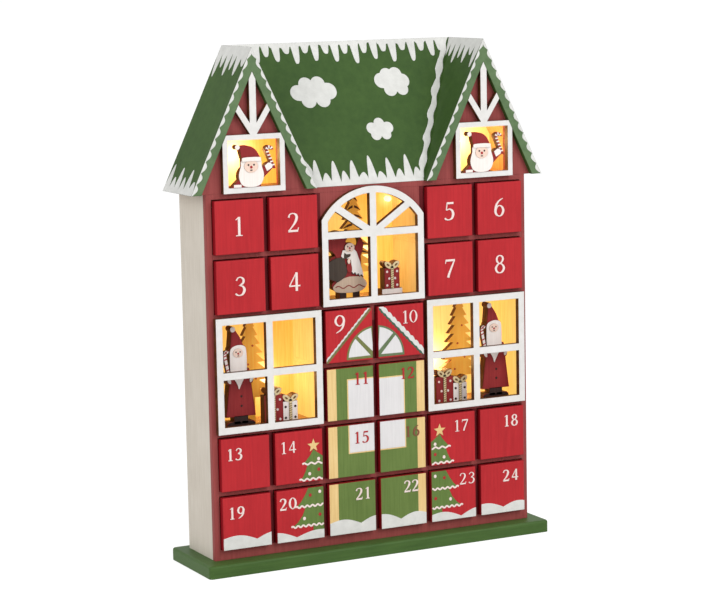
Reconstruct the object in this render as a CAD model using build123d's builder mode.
from build123d import *
import os
from math import atan, cos, radians, sin, sqrt, tan

# A wooden advent calendar: a lit town house with twenty-four drawers on a green base.
# The front faces -Y, +Z is up and the origin is the middle of the underside of the base.
# Sizes are in millimetres.

# Map of the front from the top row down: drawer numbers, and a letter for each window
front_map = (
    "1  2  A  A  5  6",
    "3  4  A  A  7  8",
    "L  L  9  10 R  R",
    "L  L  11 12 R  R",
    "13 14 15 16 17 18",
    "19 20 21 22 23 24",
)

# Drawer grid
opening_width = 45.0
opening_height = 45.2
strip_width = 4.0
bottom_rail_height = 9.0
top_rail_height = 4.5

# Walls
side_thickness = 5.0
front_thickness = 5.0
back_thickness = 5.0
cell_depth = 45.0

# Base
base_height = 10.5
base_side_margin = 12.0
base_front_margin = 16.5
base_back_margin = 10.5
base_corner_radius = 3.0
base_edge_radius = 2.0

# Drawers
drawer_front_thickness = 5.0
drawer_wall_thickness = 3.0
drawer_side_gap = 0.7
drawer_top_gap = 0.8
drawer_floor_gap = 0.2
drawer_back_gap = 0.4
drawer_rim_depth = 6.0
drawer_edge_radius = 0.6

# Roof
gable_inset = 42.0
gable_half_span = 56.5
gable_rise = 118.0
roof_thickness = 4.0
bargeboard_thickness = 5.0
bargeboard_band_width = 9.2

# Square and arched windows
frame_thickness = 5.0
frame_overlap = 1.0
frame_bar_width = 5.7
mullion_width = 6.0
arch_rise = 26.0
arch_crown_overlap = 3.5
arch_crossbar_drop = 39.5
arch_fan_angle = 34.0

# Gable windows
gable_pane_margin = 10.0
gable_pane_rise_share = 0.3263
gable_bar_width = 4.5
gable_hole_margin = 1.0
gable_post_width = 6.0
gable_strut_width = 5.0
gable_strut_angle = 57.0
gable_joint_gap = 0.2

# Cut-out figures, trees and gifts behind the windows
figure_setback = 5.0
figure_thickness = 8.0
figure_headroom = 8.4
left_figure_offset = -21.0
right_figure_offset = 27.1
coat_width = 27.0
coat_hem = 10.0
shoulder_width = 17.0
shoulder_drop = 19.0
shoe_width = 26.0
shoe_height = 6.0
shoe_radius = 2.8
leg_width = 13.0
hand_offset = 9.7
hand_drop = 9.0
hand_half_width = 2.4
hand_half_height = 3.9
beard_width = 15.4
beard_lift = 1.0
cap_height = 17.0
head_offset = -1.6
beard_corner = 4.0
cap_width = 12.0
cap_offset = -2.4
cap_waist_share = 0.45
cap_waist_left = 7.6
cap_waist_right = 0.6
cap_tip_left = 7.0
cap_tip_inset = 4.2
pompom_offset = -6.2
pompom_radius = 2.4
tree_setback = 19.0
tree_thickness = 5.0
tree_headroom = 4.5
tree_half_width = 20.0
tree_tiers = 9
tree_taper = 0.7
tree_trunk_height = 22.0
tree_trunk_width = 7.0
tree_notch_share = 0.42
tree_tier_share = 0.92
left_tree_offset = -5.0
right_tree_offset = -0.5
arched_tree_offset = -4.0
gift_tall_width = 17.0
gift_tall_height = 25.0
gift_low_width = 13.5
gift_low_height = 18.5
gift_stack_width = 14.5
gift_stack_height = 17.6
gift_plate_width = 19.5
gift_plate_height = 7.5
left_gifts_offset = 0.5
right_gifts_offset = -32.5
arched_gifts_offset = 24.5
bow_spread = 3.6
bow_lift = 2.6
bow_half_length = 4.55
bow_half_width = 2.7
bow_angle = 35.0

# Figure with a sack behind the arched window; its hood's outline is in head radii
arched_figure_offset = -16.0
sack_offset = -12.0
sack_lift = 28.0
sack_half_width = 9.0
sack_half_height = 11.0
skirt_lift = 14.0
skirt_half_width = 16.5
skirt_half_height = 7.0
torso_offset = 3.0
torso_lift = 33.0
torso_half_width = 8.5
torso_half_height = 16.0
head_lift = 46.0
head_radius = 6.5
boot_width = 19.0
hood_outline_ratios = ((1, 0), (0.6, 1.6), (-1.4, 2.2), (-2.9, 1.9), (-2.6, 0.4), (-1, 0))

# Busts in the gable windows; the cap's outline is in half widths and cap heights
bust_offset = -3.0
bust_half_width = 11.5
bust_foot_width = 17.25
bust_face_width = 15.5
bust_beard_half_height = 9.5
bust_brow_height = 23.5
bust_cap_height = 10.8
bust_cap_outline_ratios = ((-0.7, 0), (0.68, 0), (0.58, 0.33), (0.38, 0.64), (0.05, 0.89), (-0.35, 1),
                           (-0.95, 0.98), (-0.86, 0.6))
bust_sleeve_inset = 7.0
bust_sleeve_reach = 18.4
bust_pompom_offset = -12.2
bust_pompom_lift = 9.5
bust_pompom_radius = 2.0
bust_shoulder_offset = 8.0
bust_arm_width = 5.0
bust_hand_offset = 16.6
bust_hand_lift = 16.6
bust_hand_radius = 3.2
cane_radius = 2.4
cane_width = 2.7
cane_height = 29.6
cane_foot_height = 14.2
cane_foot_offset = 21.0
cane_neck_offset = 14.2

# Lamps in the back panel
lamp_radius = 2.5
lamp_dome_share = 0.9
lamp_reach = 6.0
lamp_hole_radius = 2.7
lamp_collar_radius = 4.5
lamp_collar_thickness = 2.0
high_lamp_share = (0.44, 0.85)
middle_lamp_share = (0.17, 0.39)
low_lamp_share = (0.183, 0.352)
gable_lamp_share = (0.065, 0.585)

# Battery box in the back panel
cell_radius = 7.1
cell_length = 49.5
cell_nub_radius = 2.6
cell_nub_length = 1.0
cell_gap = 0.4
contact_thickness = 0.6
contact_width = 9.0
box_wall = 1.6
box_clearance = 0.3
box_lift = 8.0
flange_thickness = 1.8
flange_margin = 7.0
switch_bay_width = 15.0
cover_thickness = 1.6
cover_gap = 0.25
cover_lap = 1.5
cover_lip = 2.0
cover_grip_width = 1.2
cover_grip_height = 0.6
cover_grip_count = 5
switch_travel = 3.0
switch_knob_width = 4.0
switch_stem_width = 3.0
switch_proud = 1.5
switch_plate_thickness = 1.0
screw_radius = 1.4
screw_length = 5.0
screw_head_radius = 2.6
screw_head_height = 1.4
screw_clearance = 0.05

# Places worked out from the sizes above
front_rows = [line.split() for line in reversed(front_map)]
columns = len(front_rows[0])
rows = len(front_rows)
column_pitch = opening_width + strip_width
row_pitch = opening_height + strip_width
house_width = columns * column_pitch - strip_width + 2 * side_thickness
house_depth = front_thickness + cell_depth + back_thickness
base_width = house_width + 2 * base_side_margin
base_depth = house_depth + base_front_margin + base_back_margin
front_y = base_front_margin - base_depth / 2
inner_front_y = front_y + front_thickness
inner_back_y = inner_front_y + cell_depth
back_y = inner_back_y + back_thickness
inner_width = house_width - 2 * side_thickness
grid_top = base_height + bottom_rail_height + rows * row_pitch - strip_width
wall_top = grid_top + top_rail_height
gable_x = house_width / 2 - gable_inset
ridge_z = wall_top + gable_rise
roof_slope = atan(gable_rise / gable_half_span)
roof_drop = roof_thickness / cos(roof_slope)
roof_run = roof_thickness / sin(roof_slope)
middle_slope = atan(gable_rise / house_depth)
middle_drop = roof_thickness / cos(middle_slope)
middle_run = roof_thickness / sin(middle_slope)


def column_x(column):
    """Left edge of a column's openings."""
    return -inner_width / 2 + column * column_pitch


def row_z(row):
    """Lower edge of a row's openings."""
    return base_height + bottom_rail_height + row * row_pitch


def marked_cells(mark):
    """Cells of the front map that hold a mark, as (column, row) with row 0 at the bottom."""
    return [(column, row) for row, marks in enumerate(front_rows)
            for column, found in enumerate(marks) if found == mark]


def window_place(mark):
    """Middle of a window's hole across the front, and the height of its floor."""
    first_column, first_row = marked_cells(mark)[0]
    return column_x(first_column) + hole_width / 2, row_z(first_row)


def strip_runs(row):
    """First and last columns of each strip below a row, where no window crosses it."""
    runs = []
    for column in range(columns):
        if front_rows[row][column] != front_rows[row - 1][column]:
            if runs and runs[-1][1] == column - 1:
                runs[-1] = (runs[-1][0], column)
            else:
                runs.append((column, column))
    return runs


def strip_span(first, last):
    """Left and right ends of a strip that carries the columns from first to last."""
    left = column_x(first) - (strip_width if first > 0 else 0)
    right = column_x(last) + opening_width + (strip_width if last < columns - 1 else 0)
    return left, right


def roof_underside(x):
    """Height of the underside of the outer roof slopes above a point of the width."""
    return ridge_z - roof_drop - (abs(x) - gable_x) * tan(roof_slope)


def facing(y):
    """Plane that faces the front at a given depth, with X to the right and Z up."""
    return Plane.XZ.offset(-y)


def board(low, high):
    """A rectangular board between two opposite corners."""
    with BuildPart() as piece:
        with Locations(low):
            Box(high[0] - low[0], high[1] - low[1], high[2] - low[2],
                align=(Align.MIN, Align.MIN, Align.MIN))
    return piece.part


def write_node(name, *pieces):
    """Labels one piece or a group of loose pieces and writes it as a node."""
    node = pieces[0] if len(pieces) == 1 else Compound(children=list(pieces))
    node.label = name
    export_step(node, f"parts/{name}.step")


os.makedirs("parts", exist_ok=True)

# Window holes: how many columns and rows each one takes, and their places
window_columns = len({column for column, row in marked_cells("A")})
window_rows = len({row for column, row in marked_cells("A")})
hole_width = window_columns * column_pitch - strip_width
hole_height = window_rows * row_pitch - strip_width
left_x, side_floor = window_place("L")
right_x, side_floor = window_place("R")
arch_x, arch_floor = window_place("A")
gable_pane_width = gable_half_span - gable_pane_margin
gable_pane_height = gable_rise * gable_pane_rise_share
gable_frame_width = gable_pane_width + 2 * gable_bar_width
gable_frame_height = gable_pane_height + 2 * gable_bar_width

# Base
with BuildPart() as base_plinth:
    with BuildSketch():
        RectangleRounded(base_width, base_depth, base_corner_radius)
    extrude(amount=base_height)
    fillet(base_plinth.faces().sort_by(Axis.Z)[-1].edges(), base_edge_radius)
write_node("base_plinth", base_plinth.part)

# Side walls, bevelled at the top to carry the outer roof slopes
for name, side in (("left_side_panel", -1), ("right_side_panel", 1)):
    outer_x = side * house_width / 2
    inner_x = side * inner_width / 2
    with BuildPart() as side_panel:
        with BuildSketch(facing(inner_back_y)):
            Polygon((inner_x, base_height), (outer_x, base_height),
                    (outer_x, roof_underside(outer_x)), (inner_x, roof_underside(inner_x)))
        extrude(amount=cell_depth)
    write_node(name, side_panel.part)

# Battery box sizes and place: two cells lie along X, one above the other
bay_width = cell_length + cell_nub_length + 2 * (contact_thickness + cell_gap)
bay_height = 4 * cell_radius + 3 * cell_gap
bay_depth = 2 * cell_radius + cell_gap
box_width = bay_width + switch_bay_width + 3 * box_wall
box_height = bay_height + 2 * box_wall
box_depth = bay_depth + box_wall
box_bottom = wall_top + box_lift
box_center_z = box_bottom + box_height / 2
bay_left = -box_width / 2 + box_wall
bay_center_x = bay_left + bay_width / 2
switch_x = bay_left + bay_width + box_wall + switch_bay_width / 2
flange_width = box_width + 2 * flange_margin
flange_height = box_height + 2 * flange_margin
flange_y = back_y + flange_thickness
cover_width = bay_width + 2 * cover_lap
cover_height = bay_height + 2 * cover_lap
rail_outer = cover_height / 2 + cover_gap + cover_lip
screw_x = flange_width / 2 - flange_margin / 2
screw_z = rail_outer + cover_gap + screw_head_radius
screw_places = [(side_x * screw_x, box_center_z + side_z * screw_z)
                for side_x in (-1, 1) for side_z in (-1, 1)]

# Lamp places: two behind the arched window and one in each other lit space
gable_lamp_x = gable_lamp_share[0] * gable_pane_width
gable_lamp_z = wall_top + gable_lamp_share[1] * gable_frame_height
lamp_places = [
    (arch_x + high_lamp_share[0] * hole_width, arch_floor + high_lamp_share[1] * hole_height),
    (arch_x + middle_lamp_share[0] * hole_width, arch_floor + middle_lamp_share[1] * hole_height),
    (left_x + low_lamp_share[0] * hole_width, side_floor + low_lamp_share[1] * hole_height),
    (right_x - low_lamp_share[0] * hole_width, side_floor + low_lamp_share[1] * hole_height),
    (-gable_x + gable_lamp_x, gable_lamp_z),
    (gable_x + gable_lamp_x, gable_lamp_z),
]

# Back panel under the roof, with the lamp holes and the battery box cut-out
middle_underside = Plane(origin=(0, back_y, ridge_z - middle_drop),
                         z_dir=(0, -sin(middle_slope), cos(middle_slope)))
with BuildPart() as back_panel:
    with BuildSketch(facing(back_y)):
        corner_z = roof_underside(house_width / 2)
        peak_z = roof_underside(gable_x)
        Polygon((-house_width / 2, base_height), (house_width / 2, base_height),
                (house_width / 2, corner_z), (gable_x, peak_z),
                (-gable_x, peak_z), (-house_width / 2, corner_z))
        with Locations((0, box_center_z)):
            Rectangle(box_width + 2 * box_clearance, box_height + 2 * box_clearance,
                      mode=Mode.SUBTRACT)
        with Locations(*lamp_places):
            Circle(lamp_hole_radius, mode=Mode.SUBTRACT)
        with Locations(*screw_places):
            Circle(screw_radius + screw_clearance, mode=Mode.SUBTRACT)
    extrude(amount=back_thickness)
    split(bisect_by=middle_underside, keep=Keep.BOTTOM)
write_node("back_panel", back_panel.part)

# Floor, shelves and ceiling: boards between the side walls
floor_board = board((-inner_width / 2, inner_front_y, base_height),
                    (inner_width / 2, inner_back_y, row_z(0)))
ceiling_board = board((-inner_width / 2, inner_front_y, grid_top),
                      (inner_width / 2, inner_back_y, wall_top))
shelves = [floor_board, ceiling_board]
for row in range(1, rows):
    for first, last in strip_runs(row):
        left, right = strip_span(first, last)
        shelves.append(board((left, inner_front_y, row_z(row) - strip_width),
                             (right, inner_back_y, row_z(row))))
write_node("shelves", *shelves)

# Upright dividers between the shelves, and the lattice stiles in front of them
dividers = []
stiles = []
for row in range(rows):
    for column in range(1, columns):
        if front_rows[row][column] != front_rows[row][column - 1]:
            left = column_x(column) - strip_width
            right = column_x(column)
            top = row_z(row) + opening_height
            dividers.append(board((left, inner_front_y, row_z(row)), (right, inner_back_y, top)))
            stiles.append(board((left, front_y, row_z(row)), (right, inner_front_y, top)))
write_node("dividers", *dividers)

# Arch of the middle window: its centre and the radius of the frame's outer edge
arch_half_width = hole_width / 2 + frame_overlap
arch_top = arch_floor + hole_height
arch_crown = arch_top + arch_crown_overlap
arch_radius = (arch_half_width ** 2 + arch_rise ** 2) / (2 * arch_rise)
arch_center_z = arch_crown - arch_radius

# Corner pieces that round off the top of the arched window's hole
spandrel_radius = arch_radius - arch_crown_overlap
spandrel_foot = arch_center_z + sqrt(spandrel_radius ** 2 - (hole_width / 2) ** 2)
with BuildPart() as spandrels:
    with BuildSketch(facing(inner_front_y)):
        with Locations((arch_x, spandrel_foot)):
            Rectangle(hole_width, arch_top - spandrel_foot, align=(Align.CENTER, Align.MIN))
        with Locations((arch_x, arch_center_z)):
            Circle(spandrel_radius, mode=Mode.SUBTRACT)
    extrude(amount=front_thickness)
stiles.extend(spandrels.solids())

# Outer stiles of the lattice
for outer, inner in ((-house_width / 2, -inner_width / 2), (inner_width / 2, house_width / 2)):
    stiles.append(board((outer, front_y, base_height), (inner, inner_front_y, wall_top)))
write_node("front_stiles", *stiles)

# Rails of the lattice
rails = [
    board((-inner_width / 2, front_y, base_height), (inner_width / 2, inner_front_y, row_z(0))),
    board((-inner_width / 2, front_y, grid_top), (inner_width / 2, inner_front_y, wall_top)),
]
for row in range(1, rows):
    for first, last in strip_runs(row):
        left, right = strip_span(first, last)
        rails.append(board((left, front_y, row_z(row) - strip_width),
                           (right, inner_front_y, row_z(row))))
write_node("front_rails", *rails)

# Gable fronts: boards under the two pitched roofs, each with a window hole
gable_pane_z = wall_top + gable_frame_height / 2
valley_x = gable_x - gable_half_span
eave_reach = gable_x + gable_half_span
gable_fronts = []
for side in (-1, 1):
    with BuildPart() as gable_front:
        with BuildSketch(facing(inner_front_y)):
            Polygon((side * (eave_reach - roof_run), wall_top), (side * gable_x, ridge_z - roof_drop),
                    (side * (valley_x + roof_run), wall_top))
            with Locations((side * gable_x, gable_pane_z)):
                Rectangle(gable_pane_width + 2 * gable_hole_margin,
                          gable_pane_height + 2 * gable_hole_margin, mode=Mode.SUBTRACT)
        extrude(amount=front_thickness)
    gable_fronts.append(gable_front.part)
write_node("gable_fronts", *gable_fronts)

# Pitched roofs: an outer slope down to the eave and an inner slope down to the valley
middle_top = Plane(origin=(0, back_y, ridge_z), z_dir=(0, -sin(middle_slope), cos(middle_slope)))
for name, side in (("left", -1), ("right", 1)):
    for slope, way in (("outer", side), ("inner", -side)):
        peak_x = side * gable_x
        eave_x = peak_x + way * gable_half_span
        with BuildPart() as roof_slope_board:
            with BuildSketch(facing(back_y)):
                Polygon((peak_x, ridge_z), (eave_x, wall_top),
                        (eave_x - way * roof_run, wall_top), (peak_x, ridge_z - roof_drop))
            extrude(amount=house_depth)
            if slope == "inner":
                split(bisect_by=middle_top, keep=Keep.TOP)
        write_node(f"{name}_{slope}_roof", roof_slope_board.part)

# Middle roof: rises from the front eave to the back, between the undersides of the inner slopes
with BuildPart() as middle_roof:
    with BuildSketch(Plane.YZ):
        Polygon((front_y, wall_top), (back_y, ridge_z),
                (back_y, ridge_z - middle_drop), (front_y + middle_run, wall_top))
    extrude(amount=gable_x, both=True)
    for side in (-1, 1):
        inner_underside = Plane(origin=(side * gable_x, 0, ridge_z - roof_drop),
                                z_dir=(-side * sin(roof_slope), 0, cos(roof_slope)))
        split(bisect_by=inner_underside, keep=Keep.TOP)
write_node("middle_roof", middle_roof.part)

# Bargeboards: inverted V boards along the front edges of the pitched roofs
band_drop = bargeboard_band_width * tan(roof_slope)
for name, side in (("left_bargeboard", -1), ("right_bargeboard", 1)):
    peak_x = side * gable_x
    inner_half = gable_half_span - bargeboard_band_width
    with BuildPart() as bargeboard:
        with BuildSketch(facing(front_y)):
            Polygon((peak_x - gable_half_span, wall_top), (peak_x, ridge_z),
                    (peak_x + gable_half_span, wall_top), (peak_x + inner_half, wall_top),
                    (peak_x, ridge_z - band_drop), (peak_x - inner_half, wall_top))
        extrude(amount=bargeboard_thickness)
    write_node(name, bargeboard.part)

# Square windows with four panes
frame_width = hole_width + 2 * frame_overlap
frame_height = hole_height + 2 * frame_overlap
pane_width = (frame_width - 2 * frame_bar_width - mullion_width) / 2
pane_height = (frame_height - 2 * frame_bar_width - mullion_width) / 2
for name, window_x in (("left_window", left_x), ("right_window", right_x)):
    with BuildPart() as square_window:
        with BuildSketch(facing(front_y)):
            with Locations((window_x, side_floor + hole_height / 2)):
                Rectangle(frame_width, frame_height)
                with GridLocations(pane_width + mullion_width, pane_height + mullion_width, 2, 2):
                    Rectangle(pane_width, pane_height, mode=Mode.SUBTRACT)
        extrude(amount=frame_thickness)
    write_node(name, square_window.part)

# Arched window: an arched rim, a crossbar, a mullion_width and two fan bars
frame_bottom = arch_floor - frame_overlap
crossbar_z = arch_crown - arch_crossbar_drop
rim_edges = (
    (arch_half_width, frame_bottom, arch_radius, Mode.ADD),
    (arch_half_width - frame_bar_width, frame_bottom + frame_bar_width,
     arch_radius - frame_bar_width, Mode.SUBTRACT),
)
fan_length = arch_half_width
with BuildPart() as arched_window:
    with BuildSketch(facing(front_y)):
        for half_width, foot, radius, mode in rim_edges:
            spring = arch_center_z + sqrt(radius ** 2 - half_width ** 2)
            with BuildLine():
                Polyline((arch_x + half_width, spring), (arch_x + half_width, foot),
                         (arch_x - half_width, foot), (arch_x - half_width, spring))
                ThreePointArc((arch_x - half_width, spring), (arch_x, arch_center_z + radius),
                              (arch_x + half_width, spring))
            make_face(mode=mode)
        with Locations((arch_x, (frame_bottom + arch_crown) / 2)):
            Rectangle(mullion_width, arch_crown - frame_bottom - frame_bar_width)
        with Locations((arch_x, crossbar_z)):
            Rectangle(2 * arch_half_width - frame_bar_width, mullion_width)
        for angle in (arch_fan_angle, 180 - arch_fan_angle):
            reach = Location((arch_x + cos(radians(angle)) * fan_length / 2,
                              crossbar_z + sin(radians(angle)) * fan_length / 2, 0), angle)
            with Locations(reach):
                Rectangle(fan_length, mullion_width)
        spring = arch_center_z + sqrt(arch_radius ** 2 - arch_half_width ** 2)
        with BuildLine():
            Polyline((arch_x + arch_half_width, spring), (arch_x + arch_half_width, frame_bottom),
                     (arch_x - arch_half_width, frame_bottom), (arch_x - arch_half_width, spring))
            ThreePointArc((arch_x - arch_half_width, spring), (arch_x, arch_crown),
                          (arch_x + arch_half_width, spring))
        make_face(mode=Mode.INTERSECT)
    extrude(amount=frame_thickness)
write_node("arched_window", arched_window.part)

# Gable windows: a square frame, a king post and two struts, cut to fit under the bargeboard
frame_top = wall_top + gable_frame_height
tip_z = ridge_z - band_drop - gable_joint_gap / cos(roof_slope)
fit_half = (tip_z - wall_top) / tan(roof_slope)
strut_length = tip_z - frame_top
for name, side in (("left_gable_window", -1), ("right_gable_window", 1)):
    peak_x = side * gable_x
    with BuildPart() as gable_window:
        with BuildSketch(facing(front_y)):
            with Locations((peak_x, gable_pane_z)):
                Rectangle(gable_frame_width, gable_frame_height)
            with Locations((peak_x, frame_top)):
                Rectangle(gable_post_width, tip_z - frame_top, align=(Align.CENTER, Align.MIN))
            for angle in (gable_strut_angle, 180 - gable_strut_angle):
                reach = Location((peak_x + cos(radians(angle)) * strut_length / 2,
                                  frame_top + sin(radians(angle)) * strut_length / 2, 0), angle)
                with Locations(reach):
                    Rectangle(strut_length, gable_strut_width)
            Polygon((peak_x - fit_half, wall_top), (peak_x + fit_half, wall_top), (peak_x, tip_z),
                    mode=Mode.INTERSECT)
            with Locations((peak_x, gable_pane_z)):
                Rectangle(gable_pane_width, gable_pane_height, mode=Mode.SUBTRACT)
        extrude(amount=frame_thickness)
    write_node(name, gable_window.part)

# Standing figures in long coats behind the square windows
figure_y = inner_front_y + figure_setback + figure_thickness
figure_height = hole_height - figure_headroom
cap_brim = figure_height - cap_height
shoulder_height = cap_brim - shoulder_drop
beard_height = cap_brim - (shoulder_height + coat_hem) / 2
coat_points = [(-coat_width / 2, coat_hem), (coat_width / 2, coat_hem),
               (shoulder_width / 2, shoulder_height), (-shoulder_width / 2, shoulder_height)]
cap_waist = cap_brim + cap_waist_share * cap_height
cap_points = [(cap_offset - cap_width / 2, cap_brim), (cap_offset + cap_width / 2, cap_brim),
              (cap_waist_right, cap_waist),
              (-cap_tip_inset, figure_height - pompom_radius),
              (-cap_tip_left, figure_height - pompom_radius / 2), (-cap_waist_left, cap_waist)]
figure_places = (("left_figure", left_x + left_figure_offset),
                 ("right_figure", right_x + right_figure_offset))
for name, figure_x in figure_places:
    with BuildPart() as standing_figure:
        with BuildSketch(Plane(origin=(figure_x, figure_y, side_floor), x_dir=(1, 0, 0),
                               z_dir=(0, -1, 0))):
            Polygon(*coat_points)
            with Locations((0, 0)):
                RectangleRounded(shoe_width, shoe_height, shoe_radius,
                                 align=(Align.CENTER, Align.MIN))
                Rectangle(leg_width, coat_hem, align=(Align.CENTER, Align.MIN))
            with Locations((head_offset, cap_brim - beard_height / 2 + beard_lift)):
                RectangleRounded(beard_width, beard_height, beard_corner)
            Polygon(*cap_points)
            with Locations((pompom_offset, figure_height - pompom_radius)):
                Circle(pompom_radius)
            with Locations((-hand_offset, shoulder_height - hand_drop),
                           (hand_offset, shoulder_height - hand_drop)):
                Ellipse(hand_half_width, hand_half_height)
        extrude(amount=figure_thickness)
    write_node(name, standing_figure.part)

# Figure with a sack over its shoulder behind the arched window
hood_points = [(x * head_radius, head_lift + z * head_radius) for x, z in hood_outline_ratios]
with BuildPart() as arched_figure:
    with BuildSketch(Plane(origin=(arch_x + arched_figure_offset, figure_y, arch_floor),
                           x_dir=(1, 0, 0), z_dir=(0, -1, 0))):
        with Locations((0, 0)):
            Rectangle(boot_width, skirt_lift, align=(Align.CENTER, Align.MIN))
        with Locations((0, skirt_lift)):
            Ellipse(skirt_half_width, skirt_half_height)
        with Locations((torso_offset, torso_lift)):
            Ellipse(torso_half_width, torso_half_height)
        with Locations((0, head_lift)):
            Circle(head_radius)
        with Locations((sack_offset, sack_lift)):
            Ellipse(sack_half_width, sack_half_height)
        Polygon(*hood_points)
    extrude(amount=figure_thickness)
write_node("arched_figure", arched_figure.part)

# Busts that stand on the lower bars of the gable windows
bust_cap_points = [(x * bust_half_width, bust_brow_height + z * bust_cap_height)
                   for x, z in bust_cap_outline_ratios]
half_arm = bust_arm_width / 2
half_cane = cane_width / 2
gable_figures = []
for peak_x in (-gable_x, gable_x):
    with BuildPart() as bust:
        bust_plane = Plane(origin=(peak_x + bust_offset, front_y, wall_top + gable_bar_width),
                           x_dir=(1, 0, 0), z_dir=(0, -1, 0))
        with BuildSketch(bust_plane):
            with Locations((cane_neck_offset + cane_radius, cane_height)):
                Circle(cane_radius + half_cane)
                Circle(cane_radius - half_cane, mode=Mode.SUBTRACT)
                Rectangle(2 * (cane_radius + cane_width), cane_radius + cane_width,
                          align=(Align.CENTER, Align.MAX), mode=Mode.SUBTRACT)
            Polygon((cane_foot_offset - half_cane, cane_foot_height),
                    (cane_foot_offset + half_cane, cane_foot_height),
                    (cane_neck_offset + half_cane, cane_height),
                    (cane_neck_offset - half_cane, cane_height))
            with Locations((bust_hand_offset, bust_hand_lift)):
                Circle(bust_hand_radius)
            with Locations((0, 0)):
                Rectangle(bust_foot_width, bust_beard_half_height, align=(Align.CENTER, Align.MIN))
            with Locations((0, bust_beard_half_height)):
                Ellipse(bust_half_width, bust_beard_half_height)
                Rectangle(bust_face_width, bust_brow_height - bust_beard_half_height,
                          align=(Align.CENTER, Align.MIN))
            Polygon(*bust_cap_points)
            with Locations((bust_pompom_offset, bust_brow_height + bust_pompom_lift)):
                Circle(bust_pompom_radius)
            Polygon((-bust_shoulder_offset, bust_beard_half_height), (-bust_sleeve_reach, 0),
                    (-bust_sleeve_inset, 0))
            Polygon((bust_shoulder_offset, bust_beard_half_height - bust_arm_width),
                    (bust_hand_offset + half_arm, bust_hand_lift - half_arm),
                    (bust_hand_offset - half_arm, bust_hand_lift + half_arm),
                    (bust_shoulder_offset, bust_beard_half_height + bust_arm_width))
        extrude(amount=frame_thickness)
    gable_figures.append(bust.part)
write_node("gable_figures", *gable_figures)

# Trees with pointed tiers behind the figures
tree_y = inner_front_y + tree_setback + tree_thickness
tree_height = hole_height - tree_headroom
tier_height = (tree_height - tree_trunk_height) / tree_tiers
tree_side = [(tree_trunk_width / 2, 0), (tree_trunk_width / 2, tree_trunk_height)]
for tier in range(tree_tiers):
    tip = tree_half_width * ((tree_tiers - tier) / tree_tiers) ** tree_taper
    foot_z = tree_trunk_height + tier * tier_height
    tree_side.append((tip, foot_z))
    if tier < tree_tiers - 1:
        tree_side.append((tip * tree_notch_share, foot_z + tier_height * tree_tier_share))
tree_outline = tree_side + [(0, tree_height)] + [(-x, z) for x, z in reversed(tree_side)]
tree_places = ((left_x + left_tree_offset, side_floor), (right_x + right_tree_offset, side_floor),
               (arch_x + arched_tree_offset, arch_floor))
window_trees = []
for tree_x, floor_z in tree_places:
    with BuildPart() as tree:
        with BuildSketch(Plane(origin=(tree_x, tree_y, floor_z), x_dir=(1, 0, 0), z_dir=(0, -1, 0))):
            Polygon(*tree_outline)
        extrude(amount=tree_thickness)
    window_trees.append(tree.part)
write_node("window_trees", *window_trees)

# Wrapped gifts with bows beside the figures: each box has its middle, foot, width and height
gift_pair = ((gift_tall_width / 2, 0, gift_tall_width, gift_tall_height),
             (gift_tall_width + gift_low_width / 2, 0, gift_low_width, gift_low_height))
gift_stack = ((0, 0, gift_plate_width, gift_plate_height),
              (0, gift_plate_height, gift_stack_width, gift_stack_height))
gift_places = (
    ("left_gifts", left_x + left_gifts_offset, side_floor, gift_pair, gift_pair),
    ("right_gifts", right_x + right_gifts_offset, side_floor, gift_pair, gift_pair),
    ("arched_gifts", arch_x + arched_gifts_offset, arch_floor, gift_stack, gift_stack[1:]),
)
for name, gift_x, floor_z, boxes, tied_boxes in gift_places:
    with BuildPart() as gifts:
        with BuildSketch(Plane(origin=(gift_x, figure_y, floor_z), x_dir=(1, 0, 0), z_dir=(0, -1, 0))):
            for center_x, low, width, height in boxes:
                with Locations((center_x, low)):
                    Rectangle(width, height, align=(Align.CENTER, Align.MIN))
            for center_x, low, width, height in tied_boxes:
                for bow_side in (-1, 1):
                    bow_place = (center_x + bow_side * bow_spread, low + height + bow_lift, 0)
                    with Locations(Location(bow_place, bow_side * bow_angle)):
                        Ellipse(bow_half_length, bow_half_width)
        extrude(amount=figure_thickness)
    write_node(name, gifts.part)

# Lamps: a domed tip in the lit space, a stem in the panel and a collar on its back
lamps = []
for lamp_x, lamp_z in lamp_places:
    with BuildPart() as lamp:
        with BuildSketch(Plane(origin=(lamp_x, back_y, lamp_z), x_dir=(1, 0, 0), z_dir=(0, -1, 0))):
            Circle(lamp_radius)
        extrude(amount=back_thickness + lamp_reach)
        fillet(lamp.edges().sort_by(Axis.Y)[0], lamp_radius * lamp_dome_share)
        with BuildSketch(Plane(origin=(lamp_x, back_y, lamp_z), x_dir=(1, 0, 0), z_dir=(0, -1, 0))):
            Circle(lamp_collar_radius)
        extrude(amount=-lamp_collar_thickness)
    lamps.append(lamp.part)
write_node("lamps", *lamps)

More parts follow.
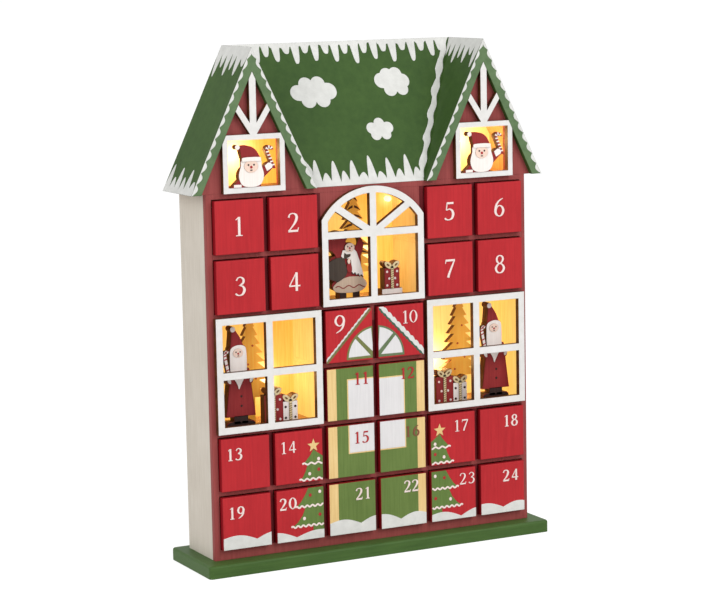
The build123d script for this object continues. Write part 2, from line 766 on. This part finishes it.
# Battery box: two bays open to the back, a flange, and rails for the sliding cover
with BuildPart() as battery_box:
    with BuildSketch(facing(back_y)):
        with Locations((0, box_center_z)):
            Rectangle(box_width, box_height)
    extrude(amount=box_depth)
    with BuildSketch(facing(flange_y)):
        with Locations((0, box_center_z)):
            Rectangle(flange_width, flange_height)
    extrude(amount=flange_thickness)
    with BuildSketch(facing(flange_y)):
        with Locations((bay_center_x, box_center_z)):
            Rectangle(bay_width, bay_height)
    extrude(amount=flange_thickness + bay_depth, mode=Mode.SUBTRACT)
    with BuildSketch(facing(back_y)):
        with Locations((switch_x, box_center_z)):
            Rectangle(switch_bay_width, bay_height)
    extrude(amount=bay_depth, mode=Mode.SUBTRACT)
    with BuildSketch(facing(flange_y)):
        with Locations((switch_x, box_center_z)):
            Rectangle(switch_stem_width + 2 * cover_gap, switch_stem_width + switch_travel + 2 * cover_gap)
        with Locations(*screw_places):
            Circle(screw_radius + screw_clearance)
    extrude(amount=flange_thickness, mode=Mode.SUBTRACT)
    cover_back_y = flange_y + cover_gap + cover_thickness
    for side in (-1, 1):
        wall_z = box_center_z + side * (cover_height / 2 + cover_gap + cover_lip / 2)
        with BuildSketch(facing(flange_y)):
            with Locations((bay_center_x, wall_z)):
                Rectangle(cover_width, cover_lip)
        extrude(amount=-(cover_thickness + 2 * cover_gap + cover_lip / 2))
        lip_z = box_center_z + side * (cover_height / 2 + cover_gap - cover_lip / 4)
        with BuildSketch(facing(cover_back_y + cover_gap)):
            with Locations((bay_center_x, lip_z)):
                Rectangle(cover_width, cover_lip / 2)
        extrude(amount=-cover_lip / 2)
write_node("battery_box", battery_box.part)

# Sliding battery cover with finger ridges
with BuildPart() as battery_cover:
    with BuildSketch(facing(cover_back_y)):
        with Locations((bay_center_x, box_center_z)):
            Rectangle(cover_width, cover_height)
    extrude(amount=cover_thickness)
    with BuildSketch(facing(cover_back_y)):
        with Locations((bay_center_x - cover_width / 4, box_center_z)):
            with GridLocations(3 * cover_grip_width, 1, cover_grip_count, 1):
                Rectangle(cover_grip_width, cover_height / 2)
    extrude(amount=-cover_grip_height)
write_node("battery_cover", battery_cover.part)

# Two battery cells that lie in opposite directions
cells = []
cell_y = back_y - bay_depth + cell_radius + cell_gap / 2
for way in (-1, 1):
    cell_z = box_center_z + way * (cell_radius + cell_gap / 2)
    can_center_x = bay_center_x - way * cell_nub_length / 2
    with BuildPart() as battery_cell:
        with BuildSketch(Plane(origin=(can_center_x, cell_y, cell_z), z_dir=(way, 0, 0))):
            Circle(cell_radius)
        extrude(amount=cell_length / 2, both=True)
        with BuildSketch(Plane(origin=(can_center_x + way * cell_length / 2, cell_y, cell_z),
                               z_dir=(way, 0, 0))):
            Circle(cell_nub_radius)
        extrude(amount=cell_nub_length)
    cells.append(battery_cell.part)
write_node("battery_cells", *cells)

# Contact plates on the end walls of the bay
contacts = []
for end in (-1, 1):
    wall_x = bay_center_x + end * bay_width / 2
    for way in (-1, 1):
        cell_z = box_center_z + way * (cell_radius + cell_gap / 2)
        inner_x = wall_x - end * contact_thickness
        half_contact = contact_width / 2
        contacts.append(board((min(wall_x, inner_x), cell_y - half_contact, cell_z - half_contact),
                              (max(wall_x, inner_x), cell_y + half_contact, cell_z + half_contact)))
write_node("battery_contacts", *contacts)

# Switch knob: a cap behind the flange, a stem through its slot and a keeper plate in the box
knob_z = box_center_z - switch_travel / 2
with BuildPart() as switch_knob:
    with BuildSketch(facing(flange_y + cover_gap)):
        with Locations((switch_x, knob_z)):
            Rectangle(switch_knob_width, switch_knob_width)
    extrude(amount=-switch_proud)
    with BuildSketch(facing(flange_y + cover_gap)):
        with Locations((switch_x, knob_z)):
            Rectangle(switch_stem_width, switch_stem_width)
    extrude(amount=flange_thickness + 2 * cover_gap)
    with BuildSketch(facing(back_y - cover_gap)):
        with Locations((switch_x, knob_z)):
            Rectangle(switch_knob_width + switch_stem_width, switch_knob_width + switch_stem_width)
    extrude(amount=switch_plate_thickness)
write_node("switch_knob", switch_knob.part)

# Screws that hold the flange to the back panel
screws = []
for place_x, place_z in screw_places:
    head_plane = Plane(origin=(place_x, flange_y, place_z), x_dir=(1, 0, 0), z_dir=(0, -1, 0))
    with BuildPart() as screw:
        with BuildSketch(head_plane):
            Circle(screw_radius)
        extrude(amount=screw_length)
        with BuildSketch(head_plane):
            Circle(screw_head_radius)
        extrude(amount=-screw_head_height)
        fillet(screw.edges().sort_by(Axis.Y)[-1], screw_head_height / 2)
    screws.append(screw.part)
write_node("box_screws", *screws)

# Drawers: a front that stands proud of the lattice, two walls, a back and a floor
drawer_width = opening_width - 2 * drawer_side_gap
drawer_height = opening_height - drawer_top_gap - drawer_floor_gap
drawer_back_y = inner_back_y - drawer_back_gap
drawer_marks = [(mark, column, row) for row, marks in enumerate(front_rows)
                for column, mark in enumerate(marks) if mark.isdigit()]
for mark, column, row in drawer_marks:
    left = column_x(column) + drawer_side_gap
    right = left + drawer_width
    low = row_z(row) + drawer_floor_gap
    floor_top = low + drawer_wall_thickness
    wall_high = low + drawer_height - drawer_rim_depth
    with BuildPart() as drawer_front:
        with BuildSketch(facing(front_y)):
            with Locations((left, low)):
                Rectangle(drawer_width, drawer_height, align=(Align.MIN, Align.MIN))
        extrude(amount=drawer_front_thickness)
        fillet(drawer_front.faces().sort_by(Axis.Y)[0].edges(), drawer_edge_radius)
    drawer_floor = board((left, front_y, low), (right, drawer_back_y, floor_top))
    left_wall = board((left, front_y, floor_top), (left + drawer_wall_thickness, drawer_back_y, wall_high))
    right_wall = board((right - drawer_wall_thickness, front_y, floor_top),
                       (right, drawer_back_y, wall_high))
    drawer_back = board((left + drawer_wall_thickness, drawer_back_y - drawer_wall_thickness, floor_top),
                        (right - drawer_wall_thickness, drawer_back_y, wall_high))
    write_node(f"drawer_{int(mark):02d}", drawer_front.part, drawer_floor, left_wall, right_wall,
               drawer_back)
